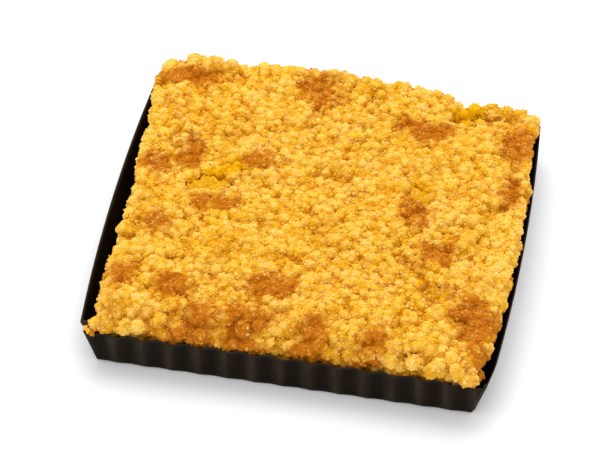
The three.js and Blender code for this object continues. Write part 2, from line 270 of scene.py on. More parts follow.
# Toasted patches: middle and half lengths in X and Y, and strength
TOASTED = (
    (-95, 95, 15, 9, 1.0), (-100, 75, 8, 7, 0.8), (-80, 29, 10, 12, 1.2), (-97, 15, 10, 13, 0.8),
    (-92, 40, 6, 6, 0.6), (-56, -12, 12, 8, 1.0), (-41, 26, 12, 8, 0.8), (-87, -36, 12, 9, 0.6),
    (-15, 92, 13, 16, 1.0), (51, 72, 16, 9, 1.2), (108, 73, 11, 19, 1.2), (110, 31, 10, 13, 1.1),
    (58, 2, 9, 11, 0.9), (-100, -78, 8, 8, 0.8), (-70, -82, 11, 8, 0.9), (-52, -108, 13, 14, 0.9),
    (-24, -108, 10, 14, 1.1), (-15, -75, 14, 10, 1.1), (14, -105, 9, 10, 1.1), (53, -39, 7, 6, 0.6),
    (77, -30, 9, 9, 1.1), (76, -60, 9, 8, 0.9), (103, -76, 13, 16, 1.0), (112, -100, 5, 7, 0.9),
    (46, -104, 10, 8, 0.6),
)

# Places soaked with curd: middle, half lengths and strength
SOAKED = (
    (72, 98, 8, 9, 1.4), (78, 107, 6, 6, 1.3), (-70, 6, 11, 7, 1.1), (-62, 13, 10, 7, 1.1),
    (-53, 21, 9, 6, 1.0), (56, 21, 9, 10, 0.9), (68, -53, 5, 6, 0.8), (82, -62, 5, 7, 0.7),
    (-36, -77, 3, 7, 0.7),
)


# Mesh helpers

def mesh_from_arrays(name, points, faces):
    """A smooth-shaded mesh from points in millimetres and faces of one size."""
    mesh = bpy.data.meshes.new(name)
    mesh.vertices.add(len(points))
    mesh.vertices.foreach_set("co", (points * MM).astype(np.float32).ravel())
    mesh.loops.add(faces.size)
    mesh.loops.foreach_set("vertex_index", faces.astype(np.int32).ravel())
    mesh.polygons.add(len(faces))
    mesh.polygons.foreach_set("loop_start", np.arange(0, faces.size, faces.shape[1], dtype=np.int32))
    mesh.update(calc_edges=True)
    mesh.validate()
    mesh.shade_smooth()
    return mesh


def add_piece(name, mesh, material):
    piece = bpy.data.objects.new(name, mesh)
    bpy.context.scene.collection.objects.link(piece)
    mesh.materials.clear()
    mesh.materials.append(material)
    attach(piece, BODY)
    return piece


def mesh_points(mesh):
    """The mesh's points in millimetres."""
    points = np.zeros(len(mesh.vertices) * 3, np.float32)
    mesh.vertices.foreach_get("co", points)
    return points.reshape(-1, 3).astype(float) / MM


def mesh_normals(mesh):
    normals = np.zeros(len(mesh.vertices) * 3, np.float32)
    mesh.vertex_normals.foreach_get("vector", normals)
    return normals.reshape(-1, 3).astype(float)


def move_points(mesh, points):
    mesh.vertices.foreach_set("co", (points * MM).astype(np.float32).ravel())
    mesh.update()


def store(mesh, name, values):
    """Keeps one number for each point of the mesh, for its material."""
    attribute = mesh.attributes.new(name, "FLOAT", "POINT")
    attribute.data.foreach_set("value", values.astype(np.float32))


def kept_numbers(mesh, name):
    """The numbers kept under a name, or zeros."""
    values = np.zeros(len(mesh.vertices), np.float32)
    if name in mesh.attributes:
        mesh.attributes[name].data.foreach_get("value", values)
    return values.astype(float)


def smoothstep(value, low, high):
    share = np.clip((value - low) / (high - low), 0, 1)
    return share * share * (3 - 2 * share)


def noise_at(points, size, shift=0.0):
    """Smooth noise at each point, with forms of about the given size."""
    return np.array([noise.noise(Vector(p)) for p in points / size + shift])


# Tray

def tray_half(rise):
    """Half sizes of the tray's outer face, from 0 at the foot to 1 at the rim."""
    return {
        "x": HALF_TRAY - SIDE_FLARE * (1 - rise),
        "y": HALF_TRAY - END_FLARE * (1 - rise),
        "side_bow": SIDE_BOW_FOOT + (SIDE_BOW_RIM - SIDE_BOW_FOOT) * rise,
        "stand_off": SIDE_STAND_OFF * rise,
        "end_bow": END_BOW_RIM * rise,
        "flute": FLUTE_FOOT + (FLUTE_RIM - FLUTE_FOOT) * rise,
    }


def flute_wave(x):
    """From 1 where a flute turns in, rounded, to -1 where it turns out, sharper."""
    return 2 * np.abs(np.cos(np.pi * (x + FLUTE_SPAN) / FLUTE_PITCH)) ** FLUTE_SHARPNESS - 1


def end_wall_inset(x, half):
    """How far the wavy end wall lies inside the straight line at x."""
    fade = 1 - smoothstep(np.abs(x), FLUTE_SPAN, FLUTE_SPAN + FLUTE_PITCH / 2)
    return half["end_bow"] * (1 - (x / half["x"]) ** 2) + half["flute"] * flute_wave(x) * fade


def side_wall(y, half):
    """How far out the right side wall's outer face stands at y. The left one mirrors it in both axes."""
    stand_off = half["stand_off"] * smoothstep(y + half["y"], *STAND_OFF_FADE)
    return half["x"] + stand_off + half["side_bow"] * (1 - (y / half["y"]) ** 2)


def tray_ring(rise, z, inset, overlap):
    """One closed ring of the tray, counterclockwise from the front left corner."""
    half = tray_half(rise)
    radius = CORNER_RADIUS - inset
    end_x = half["x"] - LAP_DEPTH - inset
    end_y = half["y"] - inset
    straight = end_x - radius
    lap_start = -(half["y"] - SHORT_LAP - overlap)
    lap_end = half["y"] - LONG_LAP - overlap
    end_steps = round(TRAY_WIDTH / FLUTE_PITCH * STEPS_PER_FLUTE)
    x = np.linspace(-straight, straight, end_steps + 1)
    front = np.stack([x, end_wall_inset(x, half) - end_y], 1)
    turn = np.arange(1, CORNER_STEPS + 1) / CORNER_STEPS * np.pi / 2
    corner = np.stack([
        straight + radius * np.sin(turn),
        -(end_y - radius + radius * np.cos(turn)),
    ], 1)
    y = np.linspace(lap_start, lap_end, SIDE_STEPS + 1)
    side = np.stack([side_wall(y, half) - inset, y], 1)
    back_corner = corner[::-1] * (1, -1)
    half_ring = np.concatenate([
        front, corner, [(end_x, lap_start)], side, [(end_x, lap_end)], back_corner,
    ])
    ring = np.concatenate([half_ring, -half_ring])
    return np.column_stack([ring, np.full(len(ring), z)])


def band(start, count, next_start):
    """Faces between two rings of points, seen from outside as they rise."""
    i = np.arange(count)
    j = (i + 1) % count
    return np.stack([start + i, start + j, next_start + j, next_start + i], 1)


def tray_mesh():
    """The tray's one sheet: foot, outer wall, rim edge, inner wall and floor."""
    levels = np.linspace(0, 1, WALL_LEVELS)
    outer_z = FOOT_ROUND + (TRAY_HEIGHT - FOOT_ROUND) * levels
    inner_z = FOOT_ROUND + BOARD + (TRAY_HEIGHT - FOOT_ROUND - BOARD) * levels
    rings = [tray_ring(0, 0, FOOT_ROUND, 0)]
    rings += [tray_ring(rise, z, 0, 0) for rise, z in zip(levels, outer_z)]
    rings += [tray_ring(rise, z, BOARD, LAP_OVERLAP) for rise, z in zip(levels[::-1], inner_z[::-1])]
    rings += [tray_ring(0, BOARD, FOOT_ROUND + BOARD, LAP_OVERLAP)]
    count = len(rings[0])
    points = np.concatenate(rings)
    faces = np.concatenate([band(k * count, count, (k + 1) * count) for k in range(len(rings) - 1)])
    work = bmesh.new()
    made = [work.verts.new(p) for p in points * MM]
    for face in faces:
        work.faces.new([made[k] for k in face])
    work.faces.new(made[:count][::-1])
    work.faces.new(made[-count:])
    mesh = bpy.data.meshes.new("tray_sheet")
    work.to_mesh(mesh)
    work.free()
    at_rim = smoothstep(points[:, 2], TRAY_HEIGHT - CUT_EDGE, TRAY_HEIGHT)
    fade_start, fade_end = (HALF_TRAY - END_FLARE - distance for distance in END_WALL_FADE)
    on_ends = smoothstep(np.abs(points[:, 1]), fade_start, fade_end)
    # Painted light: the flanks just left of where the folds turn out are made lighter, as lit from the
    # left
    flank_light_bands = (0.5 - 0.5 * flute_wave(points[:, 0] + LIT_FLANK_SHIFT)) ** LIT_FLANK_SHARPNESS
    store(mesh, "cut", at_rim)
    store(mesh, "painted_flank_light", flank_light_bands * on_ends)
    mesh.shade_smooth()
    return mesh


# Crumble core

def welded_copy(node, name, balls):
    """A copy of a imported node's mesh with its shared points merged, and balls laid through it."""
    work = bmesh.new()
    work.from_mesh(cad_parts[node].data)
    bmesh.ops.remove_doubles(work, verts=work.verts, dist=WELD_DISTANCE * MM)
    for x, y, z, radius in balls:
        place = Matrix.Translation(Vector((x, y, z)) * MM)
        bmesh.ops.create_icosphere(work, subdivisions=LUMP_STEPS, radius=radius * MM, matrix=place)
    mesh = bpy.data.meshes.new(name)
    work.to_mesh(mesh)
    work.free()
    return mesh


def evenly_meshed(node, name, depth, voxel, smoothing, balls=()):
    """The node's form at a depth under its skin, in even small faces."""
    helper = bpy.data.objects.new(name + "_helper", welded_copy(node, name + "_helper", balls))
    bpy.context.scene.collection.objects.link(helper)
    shrink = helper.modifiers.new("shrink", "DISPLACE")
    shrink.strength = -depth * MM
    shrink.mid_level = 0
    remesh = helper.modifiers.new("remesh", "REMESH")
    remesh.mode = "VOXEL"
    remesh.voxel_size = voxel * MM
    smooth = helper.modifiers.new("smooth", "SMOOTH")
    smooth.iterations = smoothing
    smooth.factor = 0.5
    graph = bpy.context.evaluated_depsgraph_get()
    mesh = bpy.data.meshes.new_from_object(helper.evaluated_get(graph))
    bpy.data.objects.remove(helper)
    mesh.name = name
    return mesh


def close_downward(mesh, cut, foot):
    """Keeps the mesh above the cut and closes it with a plain hidden foot in the tray."""
    points = mesh_points(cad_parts["crumble"].data)
    at_foot = points[points[:, 2] < foot + NEAR_FOOT]
    at_rim = points[np.abs(points[:, 2] - TRAY_HEIGHT) < NEAR_RIM]
    share = (TRAY_HEIGHT - cut) / (TRAY_HEIGHT - foot)
    narrow = np.ptp(at_foot[:, :2], axis=0) / np.ptp(at_rim[:, :2], axis=0)
    narrow = narrow / (1 + (narrow - 1) * share)
    work = bmesh.new()
    work.from_mesh(mesh)
    geometry = work.verts[:] + work.edges[:] + work.faces[:]
    bmesh.ops.bisect_plane(
        work, geom=geometry, plane_co=(0, 0, cut * MM), plane_no=(0, 0, 1), clear_inner=True,
    )
    rim = [edge for edge in work.edges if edge.is_boundary]
    grown = bmesh.ops.extrude_edge_only(work, edges=rim)["geom"]
    foot_points = [part for part in grown if isinstance(part, bmesh.types.BMVert)]
    for point in foot_points:
        point.co.x *= narrow[0]
        point.co.y *= narrow[1]
        point.co.z = foot * MM
    bmesh.ops.contextual_create(work, geom=[edge for edge in work.edges if edge.is_boundary])
    bmesh.ops.recalc_face_normals(work, faces=work.faces)
    work.to_mesh(mesh)
    work.free()


def mesh_corners(mesh):
    """The three points of each of the mesh's triangles, by number."""
    mesh.calc_loop_triangles()
    corners = np.zeros(len(mesh.loop_triangles) * 3, np.int32)
    mesh.loop_triangles.foreach_get("vertices", corners)
    return corners.reshape(-1, 3)


def skin_of(meshes):
    """The points, normals and triangles of several meshes together."""
    starts = np.cumsum([0] + [len(mesh.vertices) for mesh in meshes])
    return {
        "points": np.concatenate([mesh_points(mesh) for mesh in meshes]),
        "normals": np.concatenate([mesh_normals(mesh) for mesh in meshes]),
        "corners": np.concatenate([mesh_corners(mesh) + start for mesh, start in zip(meshes, starts)]),
        "deep": np.concatenate([kept_numbers(mesh, "deep") for mesh in meshes]),
    }


def surface_places(skin, count, random, lowest):
    """Random places on a skin above a height, even by area, with their normals and depths."""
    points, normals, corners = skin["points"], skin["normals"], skin["corners"]
    a, b, c = (points[corners[:, k]] for k in range(3))
    area = np.linalg.norm(np.cross(b - a, c - a), axis=1) / 2
    area[a[:, 2] < lowest] = 0
    picked = random.choice(len(corners), count, p=area / area.sum())
    u, v = random.random((2, count))
    flip = u + v > 1
    u[flip], v[flip] = 1 - u[flip], 1 - v[flip]
    weights = np.stack([1 - u - v, u, v], 1)[:, :, None]
    places = (points[corners[picked]] * weights).sum(1)
    facing = (normals[corners[picked]] * weights).sum(1)
    deep = (skin["deep"][corners[picked]] * weights[:, :, 0]).sum(1)
    return places, facing / np.linalg.norm(facing, axis=1)[:, None], deep


def tree_of(points):
    tree = KDTree(len(points))
    for i, point in enumerate(points):
        tree.insert(point, i)
    tree.balance()
    return tree


def spread(places, spacing, order):
    """The places that stay at least their own spacing apart, chosen in the given order."""
    tree = tree_of(places)
    taken = np.zeros(len(places), bool)
    kept = []
    for i in order:
        if taken[i]:
            continue
        kept.append(i)
        for _, j, _ in tree.find_range(places[i], spacing[i]):
            taken[j] = True
    return np.array(kept)


def raise_skin(skin, height):
    """Moves the skin's points along its normals, but not at the hidden cut."""
    fade = smoothstep(skin["points"][:, 2], *RELIEF_START)
    skin["points"] = skin["points"] + skin["normals"] * (height * fade)[:, None]


def heights_over(points, normals, centres, sizes, pit):
    """How high the nearest balls stand over each point along its normal, and which ball is highest."""
    tree = tree_of(centres)
    found = np.array([[hit[1] for hit in tree.find_n(p, NEAREST_HEADS)] for p in points])
    away = centres[found] - points[:, None, :]
    along = np.einsum("ijk,ik->ij", away, normals)
    reach = sizes[found] ** 2 - (away ** 2).sum(2) + along ** 2
    heights = np.where(reach > 0, along + np.sqrt(np.maximum(reach, 0)), -pit)
    highest = np.arange(len(found)), heights.argmax(1)
    return np.maximum(heights[highest], -pit), found[highest]


def add_heads(skin, random):
    """Fuses heads into the skin. Gives each point's depth between them."""
    places, facing, _ = surface_places(skin, HEADS["tries"], random, LOWEST_HEAD)
    smallest, largest = HEADS["radii"]
    sizes = smallest + (largest - smallest) * random.random(len(places)) ** HEADS["skew"]
    kept = spread(places, sizes * HEADS["spacing"], np.argsort(-sizes, kind="stable"))
    sizes = sizes[kept]
    centres = places[kept] + facing[kept] * (sizes * (HEADS["rise"] - 1))[:, None]
    height, _ = heights_over(skin["points"], skin["normals"], centres, sizes, HEADS["pit"])
    raise_skin(skin, height)
    top = HEADS["rise"] * np.mean(HEADS["radii"])
    return np.clip((top - height) / (top + HEADS["pit"]), 0, 1)


def add_apron(points):
    """Brings the foot of the front slope out to the rim."""
    off_corners = 1 - smoothstep(np.abs(points[:, 0]), *APRON_CORNERS)
    at_front = smoothstep(-points[:, 1], *APRON_START) * off_corners
    low = (1 - smoothstep(points[:, 2], *APRON_END)) * smoothstep(points[:, 2], *SLOPE_START)
    points[:, 1] -= APRON_REACH * at_front * low


def shift_left_side(points):
    """Brings the left side closer to its wall towards the back."""
    along = smoothstep(points[:, 1], *LEFT_START) * (1 - smoothstep(points[:, 1], *LEFT_END))
    at_side = smoothstep(-points[:, 0], *LEFT_SIDE) * smoothstep(points[:, 2], *SLOPE_START)
    points[:, 0] -= LEFT_SHIFT * along * at_side


def inner_walls(points):
    """The tray's inner half sizes along X and Y at each point."""
    half = tray_half(np.clip((points[:, 2] - FOOT_ROUND) / (TRAY_HEIGHT - FOOT_ROUND), 0, 1))
    board = BOARD + WALL_GAP
    end_y = half["y"] - board - end_wall_inset(points[:, 0], half)
    side_x = side_wall(points[:, 1] * np.sign(points[:, 0]), half) - board
    return side_x, end_y


def keep_in_tray(points):
    """Holds what lies below the rim inside the tray's walls, and what hangs over the rim on top of it."""
    side_x, end_y = inner_walls(points)
    top = TRAY_HEIGHT + WALL_GAP
    outside = (np.abs(points[:, 0]) > side_x) | (np.abs(points[:, 1]) > end_y)
    hanging = outside & (points[:, 2] > TRAY_HEIGHT - RIM_REST) & (points[:, 2] < top)
    points[:, 2] = np.where(hanging, top, points[:, 2])
    below = points[:, 2] < top
    for axis, limit in ((0, side_x), (1, end_y)):
        points[:, axis] = np.where(below, np.clip(points[:, axis], -limit, limit), points[:, axis])


# Where the crumble is toasted, soaked, light, dark or creased

def patch_strength(points, patches):
    """The strongest patch at each point, 0 far from all of them."""
    strength = np.zeros(len(points))
    for x, y, reach_x, reach_y, full in patches:
        away = np.hypot((points[:, 0] - x) / reach_x, (points[:, 1] - y) / reach_y)
        strength = np.maximum(strength, full * (1 - smoothstep(away, *PATCH_FADE)))
    return strength


def wandered(points, size, shifts, reach):
    """The points moved about in X and Y, which gives patches ragged edges."""
    aside = [noise_at(points, size, shift) for shift in shifts]
    return points + np.stack([*aside, np.zeros(len(points))], 1) * reach


def toast_at(points):
    """How toasted the crumble is at each point, from 0 to 1, with painted shade low down at the rim
    counted in.
    """
    strength = patch_strength(wandered(points, *TOAST_WANDER), TOASTED)
    fine, broad = (noise_at(points, size, shift) * full for size, shift, full in TOAST_SPECKLE)
    # Low down at the rim the toast also paints the warm shade under the lumps
    full, start, end = LOW_TOAST_AND_SHADE
    low_toast_and_shade = full * (1 - smoothstep(points[:, 2], start, end))
    full, start, end = TOAST_IN_FRONT
    in_front = full * (1 - smoothstep(points[:, 1], start, end))
    return smoothstep(strength + low_toast_and_shade + in_front + (fine + broad) * SPECKLE_SHARE, *TOAST_EDGE)


def soak_at(points):
    """How much curd soaks through at each point, from 0 to 1."""
    strength = patch_strength(wandered(points, *SOAK_WANDER), SOAKED)
    size, shift, full = SOAK_SPECKLE
    return smoothstep(strength + noise_at(points, size, shift) * full, *SOAK_EDGE)


def tint_at(points, fine):
    """How much lighter or darker than golden each point is, with a share of fine changes."""
    return noise_at(points, *TINT_FINE) * fine + noise_at(points, *TINT_BROAD) * TINT_BROAD_SHARE


def crease_lines(points, kind):
    """How near each point is to a winding crease, 1 on it, and on which side of it, from -1 to 1."""
    value = noise_at(points, kind["size"], kind["shift"])
    size, shift = kind["size"] * CREASE_BREAKS["size"], kind["shift"] + CREASE_BREAKS["shift"]
    broken = smoothstep(noise_at(points, size, shift), *CREASE_BREAKS["fade"])
    near = np.exp(-(value / kind["width"]) ** 2) * broken
    return near, np.tanh(value / kind["width"]) * broken


def crease_at(points):
    return np.max([crease_lines(points, kind)[0] for kind in CREASES], axis=0)


def add_creases(skin):
    """Swells, steps and winding creases of the skin."""
    points = skin["points"]
    lift = noise_at(points, SWELL["size"], SWELL["shift"]) * SWELL["height"]
    for kind in CREASES:
        near, side = crease_lines(points, kind)
        lift += side * kind["step"] / 2 - near * kind["depth"]
    raise_skin(skin, lift)


def strip_of(mesh, name, start, end):
    """The faces of the mesh whose middles lie between two lengths along Y."""
    work = bmesh.new()
    work.from_mesh(mesh)
    others = [face for face in work.faces if not start <= face.calc_center_median().y / MM < end]
    bmesh.ops.delete(work, geom=others, context="FACES")
    strip = bpy.data.meshes.new(name)
    work.to_mesh(strip)
    work.free()
    strip.shade_smooth()
    return strip


def crumble_core(material):
    """The crumble's lumpy body, in strips from front to back. Gives the whole mesh."""
    random = np.random.default_rng(HEAD_SEED)
    mesh = evenly_meshed("crumble", "crumble_body", CORE_DEPTH, CORE_VOXEL, CORE_SMOOTHING, LUMPS)
    close_downward(mesh, CORE_CUT, CORE_FOOT)
    skin = skin_of([mesh])
    crease = crease_at(skin["points"])
    add_creases(skin)
    deep = add_heads(skin, random)
    points = skin["points"]
    level, share = CORE_TOP
    points[:, 2] = np.minimum(points[:, 2], level) + np.maximum(points[:, 2] - level, 0) * share
    add_apron(points)
    shift_left_side(points)
    keep_in_tray(points)
    move_points(mesh, points)
    store(mesh, "toast", toast_at(points))
    store(mesh, "soak", soak_at(points))
    store(mesh, "tint", np.clip(tint_at(points, 1), -1, 1))
    store(mesh, "deep", deep)
    # The pit number paints shade into the deep places and the creases
    pit = CORE_PAINTED_SHADE["everywhere"] + deep * CORE_PAINTED_SHADE["deep"] + crease * CORE_PAINTED_SHADE["crease"]
    store(mesh, "pit", np.clip(pit, 0, 1))
    start = -HALF_TRAY * 2
    for name, end in CORE_STRIPS:
        strip = add_piece(name, strip_of(mesh, name, start, end), material)
        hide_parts("crumble")
        start = end
    return mesh


# Crumbs and grains

def round_shape(steps):
    """A ball of radius 1."""
    work = bmesh.new()
    bmesh.ops.create_icosphere(work, subdivisions=steps + 1, radius=1)
    points = np.array([v.co[:] for v in work.verts])
    faces = np.array([[v.index for v in face.verts] for face in work.faces])
    work.free()
    return points, faces


def grain_shapes(steps, random):
    """Uneven rounded shapes of radius about 1, with the faces that they share."""
    points, faces = round_shape(steps)
    shapes = []
    for _ in range(GRAIN_SHAPES):
        shift = random.uniform(-GRAIN_NOISE_REACH, GRAIN_NOISE_REACH, 3)
        lumps = np.array([noise.noise(Vector(p * GRAIN_LUMP_SCALE + shift)) for p in points])
        swell = 1 + GRAIN_LUMPINESS * lumps
        stretch = random.uniform(*GRAIN_STRETCH, 3)
        shapes.append(points * swell[:, None] * stretch)
    return np.array(shapes), faces


def random_turns(count, random):
    """Random rotation matrices."""
    q = random.normal(size=(count, 4))
    w, x, y, z = (q / np.linalg.norm(q, axis=1)[:, None]).T
    rows = [
        1 - 2 * (y * y + z * z), 2 * (x * y - z * w), 2 * (x * z + y * w),
        2 * (x * y + z * w), 1 - 2 * (x * x + z * z), 2 * (y * z - x * w),
        2 * (x * z - y * w), 2 * (y * z + x * w), 1 - 2 * (x * x + y * y),
    ]
    return np.stack(rows, 1).reshape(-1, 3, 3)


def scattered(name, places, facing, sizes, deep, sunk, steps, random, material):
    """One piece of rounded things at the places, each partly sunk and with its own colour."""
    shapes, faces = grain_shapes(steps, random)
    turns = random_turns(len(places), random)
    local = shapes[random.integers(GRAIN_SHAPES, size=len(places))] * sizes[:, None, None]
    centres = places + facing * (sizes * (1 - 2 * sunk))[:, None]
    around = np.einsum("nij,nkj->nki", turns, local)
    points = (around + centres[:, None, :]).reshape(-1, 3)
    per_thing = around.shape[1]
    height = np.einsum("nki,ni->nk", around, facing) / sizes[:, None]
    # Painted shade on each crumb's underside, in the creases and in deep places
    underside_shade = smoothstep(-height.ravel(), *UNDERSIDE_SHADE)
    pit = underside_shade * CRUMB_PAINTED_SHADE["underside_shade"]
    pit = pit + np.repeat(crease_at(places), per_thing) * CRUMB_PAINTED_SHADE["crease"]
    pit = pit + np.repeat(deep, per_thing) * CRUMB_PAINTED_SHADE["deep"]
    keep_in_tray(points)
    all_faces = (faces[None] + np.arange(len(places))[:, None, None] * per_thing).reshape(-1, 3)
    mesh = mesh_from_arrays(name, points, all_faces)
    toast = toast_at(places) * (1 + random.normal(size=len(places)) * CRUMB_TINT["toast"])
    tint = tint_at(places, CRUMB_TINT["fine"])
    tint += random.normal(size=len(places)) * CRUMB_TINT["random"]
    store(mesh, "toast", np.repeat(np.clip(toast, 0, 1), per_thing))
    store(mesh, "soak", np.repeat(soak_at(places), per_thing))
    store(mesh, "tint", np.repeat(np.clip(tint, -1, 1), per_thing))
    store(mesh, "pit", np.clip(pit, 0, 1))
    return add_piece(name, mesh, material)


def add_crumbs(ground, material):
    """Crumbs of several sizes close together all over the core. Gives their middles and radii."""
    random = np.random.default_rng(CRUMB_SEED)
    places, facing, deep = surface_places(ground, CRUMB_TRIES, random, LOWEST_CRUMB)
    smallest, largest = CRUMB_SIZES[0][1], CRUMB_SIZES[-1][2]
    sizes = smallest + (largest - smallest) * random.random(len(places)) ** CRUMB_SKEW
    kept = spread(places, sizes * CRUMB_SPACING, random.permutation(len(places)))
    in_crease = smoothstep(crease_at(places[kept]), *OPEN_CREASE)
    missing = np.maximum(soak_at(places[kept]) * MISSING_WHERE_SOAKED, in_crease)
    kept = kept[random.random(len(kept)) > missing]
    side_x, end_y = inner_walls(places[kept])
    inside = (np.abs(places[kept, 0]) < side_x) & (np.abs(places[kept, 1]) < end_y)
    kept = kept[inside | (places[kept, 2] > TRAY_HEIGHT + RIM_CLEARANCE)]
    places, facing, deep, sizes = places[kept], facing[kept], deep[kept], sizes[kept]
    for name, low, high in CRUMB_SIZES:
        own = (sizes >= low) & (sizes < high)
        scattered(name, places[own], facing[own], sizes[own], deep[own], CRUMB_SUNK, 0, random, material)
    return places + facing * (sizes * (1 - 2 * CRUMB_SUNK))[:, None], sizes


def add_grains(ground, centres, crumb_sizes, material):
    """Fine grains on the crumbs' outer faces."""
    random = np.random.default_rng(GRAIN_SEED)
    places, facing, deep = surface_places(ground, GRAINS["count"], random, LOWEST_GRAIN)
    height, own = heights_over(places, facing, centres, crumb_sizes, 0.0)
    places = places + facing * height[:, None]
    outward = places - centres[own]
    on_crumb = height > 0
    facing[on_crumb] = outward[on_crumb] / np.linalg.norm(outward[on_crumb], axis=1)[:, None]
    sizes = random.uniform(*GRAINS["radii"], len(places))
    scattered("grains_fine", places, facing, sizes, deep, GRAINS["sunk"], 0, random, material)


def add_rim_crumbs(material):
    """Single crumbs that lie on the tray's rim."""
    random = np.random.default_rng(RIM_SEED)
    middles, sizes = np.array(RIM_CRUMBS)[:, :3], np.array(RIM_CRUMBS)[:, 3]
    upward = np.tile((0.0, 0.0, 1.0), (len(middles), 1))
    deep = np.zeros(len(middles))
    scattered("crumbs_on_rim", middles, upward, sizes, deep, RIM_CRUMB_SUNK, 1, random, material)


# Curd

def curd(node, material):
    """The curd's solid with a lumpy skin that fills its hollow in the core."""
    mesh = evenly_meshed(node, node + "_gel", 0.0, GEL_VOXEL, GEL_SMOOTHING)
    points = mesh_points(mesh)
    normals = mesh_normals(mesh)
    swell = GEL_SWELL
    for size, shift, height in GEL_LUMPS:
        swell = swell + noise_at(points, size, shift) * height
    move_points(mesh, points + normals * swell[:, None] - (0, 0, GEL_DROP))
    mesh.shade_smooth()
    piece = add_piece(node + "_gel", mesh, material)
    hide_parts(node)
    return mesh


# Materials

def new_material(name):
    material = bpy.data.materials.new(name)
    material.use_nodes = True
    tree = material.node_tree
    return material, tree, tree.nodes["Principled BSDF"]


def attribute(tree, name):
    """A number kept with the mesh's points."""
    node = tree.nodes.new("ShaderNodeAttribute")
    node.attribute_name = name
    return node.outputs["Fac"]


def noise_node(tree, scale, detail=3.0, roughness=0.6, stretch=(1, 1, 1)):
    """Noise from 0 to 1, with a number of forms to the metre."""
    place = tree.nodes.new("ShaderNodeNewGeometry")
    stretched = tree.nodes.new("ShaderNodeVectorMath")
    stretched.operation = "MULTIPLY"
    stretched.inputs[1].default_value = stretch
    node = tree.nodes.new("ShaderNodeTexNoise")
    node.inputs["Scale"].default_value = scale
    node.inputs["Detail"].default_value = detail
    node.inputs["Roughness"].default_value = roughness
    tree.links.new(place.outputs["Position"], stretched.inputs[0])
    tree.links.new(stretched.outputs["Vector"], node.inputs["Vector"])
    return node.outputs["Fac"]


def ranged(tree, value, low, high, to_low=0.0, to_high=1.0):
    """A value's share of the way from low to high, or what it becomes there."""
    node = tree.nodes.new("ShaderNodeMapRange")
    node.inputs["From Min"].default_value = low
    node.inputs["From Max"].default_value = high
    node.inputs["To Min"].default_value = to_low
    node.inputs["To Max"].default_value = to_high
    tree.links.new(value, node.inputs["Value"])
    return node.outputs["Result"]


def mixed(tree, factor, first, second):
    """A colour mix. A colour is a socket or three numbers."""
    node = tree.nodes.new("ShaderNodeMix")
    node.data_type = "RGBA"
    node.clamp_factor = True
    tree.links.new(factor, node.inputs["Factor"])
    for socket, colour in ((node.inputs[6], first), (node.inputs[7], second)):
        if isinstance(colour, tuple):
            socket.default_value = (*colour, 1)
        else:
            tree.links.new(colour, socket)
    return node.outputs[2]


def voronoi_node(tree, size):
    """Cells of about a size in millimetres: distance from their middles and a random number each."""
    place = tree.nodes.new("ShaderNodeNewGeometry")
    node = tree.nodes.new("ShaderNodeTexVoronoi")
    node.inputs["Scale"].default_value = 1 / (size * MM)
    tree.links.new(place.outputs["Position"], node.inputs["Vector"])
    split = tree.nodes.new("ShaderNodeSeparateColor")
    tree.links.new(node.outputs["Color"], split.inputs["Color"])
    return node.outputs["Distance"], split.outputs["Red"]


def bump(tree, height, strength, distance, after=None):
    """Fine relief of a height in millimetres, laid over another where one is given."""
    node = tree.nodes.new("ShaderNodeBump")
    node.inputs["Strength"].default_value = strength
    node.inputs["Distance"].default_value = distance * MM
    tree.links.new(height, node.inputs["Height"])
    if after is not None:
        tree.links.new(after, node.inputs["Normal"])
    return node.outputs["Normal"]


def crumble_material():
    """Painted paler on the tops as lit, golden between them and painted deep orange as shade in the
    creases and between the granules, toasted in patches.
    """
    material, tree, shader = new_material("golden crumble")
    golden = (0.88, 0.52, 0.028)
    pale = (0.95, 0.635, 0.18)
    deep = (0.78, 0.345, 0.003)
    toasted = (0.45, 0.12, 0.005)
    toasted_pale = (0.61, 0.21, 0.014)
    soaked = (0.83, 0.46, 0.0015)
    # Painted shade: the colour of the shaded pits and creases
    painted_crease_shade = (0.48, 0.15, 0.0004)
    distance, number = voronoi_node(tree, GRANULE)
    tint = attribute(tree, "tint")
    pit = attribute(tree, "pit")
    # Painted light: the tops, where the pit number is low, are painted paler as lit
    colour = mixed(tree, ranged(tree, pit, 0.5, 0.05), golden, pale)
    colour = mixed(tree, ranged(tree, tint, 0.1, 1, 0, 0.7), colour, pale)
    colour = mixed(tree, ranged(tree, tint, -0.1, -1, 0, 0.8), colour, deep)
    colour = mixed(tree, ranged(tree, number, 0.6, 1, 0, 0.2), colour, pale)
    colour = mixed(tree, ranged(tree, number, 0.4, 0, 0, 0.2), colour, deep)
    mottle = ranged(tree, noise_node(tree, scale=90), 0.45, 0.75, 0, 0.6)
    colour = mixed(tree, mottle, colour, deep)
    brown = mixed(tree, number, toasted, toasted_pale)
    colour = mixed(tree, ranged(tree, attribute(tree, "toast"), 0, 1), colour, brown)
    colour = mixed(tree, ranged(tree, attribute(tree, "soak"), 0, 1, 0, 0.95), colour, soaked)
    # Painted shade in the pits and creases
    colour = mixed(tree, ranged(tree, pit, 0.5, 1, 0, 0.85), colour, painted_crease_shade)
    # Painted shade at the granules' borders
    colour = mixed(tree, ranged(tree, distance, 0.45, 0.85, 0, 0.15), colour, painted_crease_shade)
    tree.links.new(colour, shader.inputs["Base Color"])
    shader.inputs["Roughness"].default_value = 0.6
    shader.inputs["Specular IOR Level"].default_value = 0.02
    shader.inputs["Subsurface Weight"].default_value = 0.12
    shader.inputs["Subsurface Radius"].default_value = (1.0, 0.8, 0.4)
    shader.inputs["Subsurface Scale"].default_value = 0.8 * MM
    granules = bump(tree, ranged(tree, distance, 0, 0.8, 1, 0), strength=0.45, distance=0.4)
    grit = noise_node(tree, scale=1300, detail=2.0)
    relief = bump(tree, grit, strength=0.25, distance=0.2, after=granules)
    tree.links.new(relief, shader.inputs["Normal"])
    return material


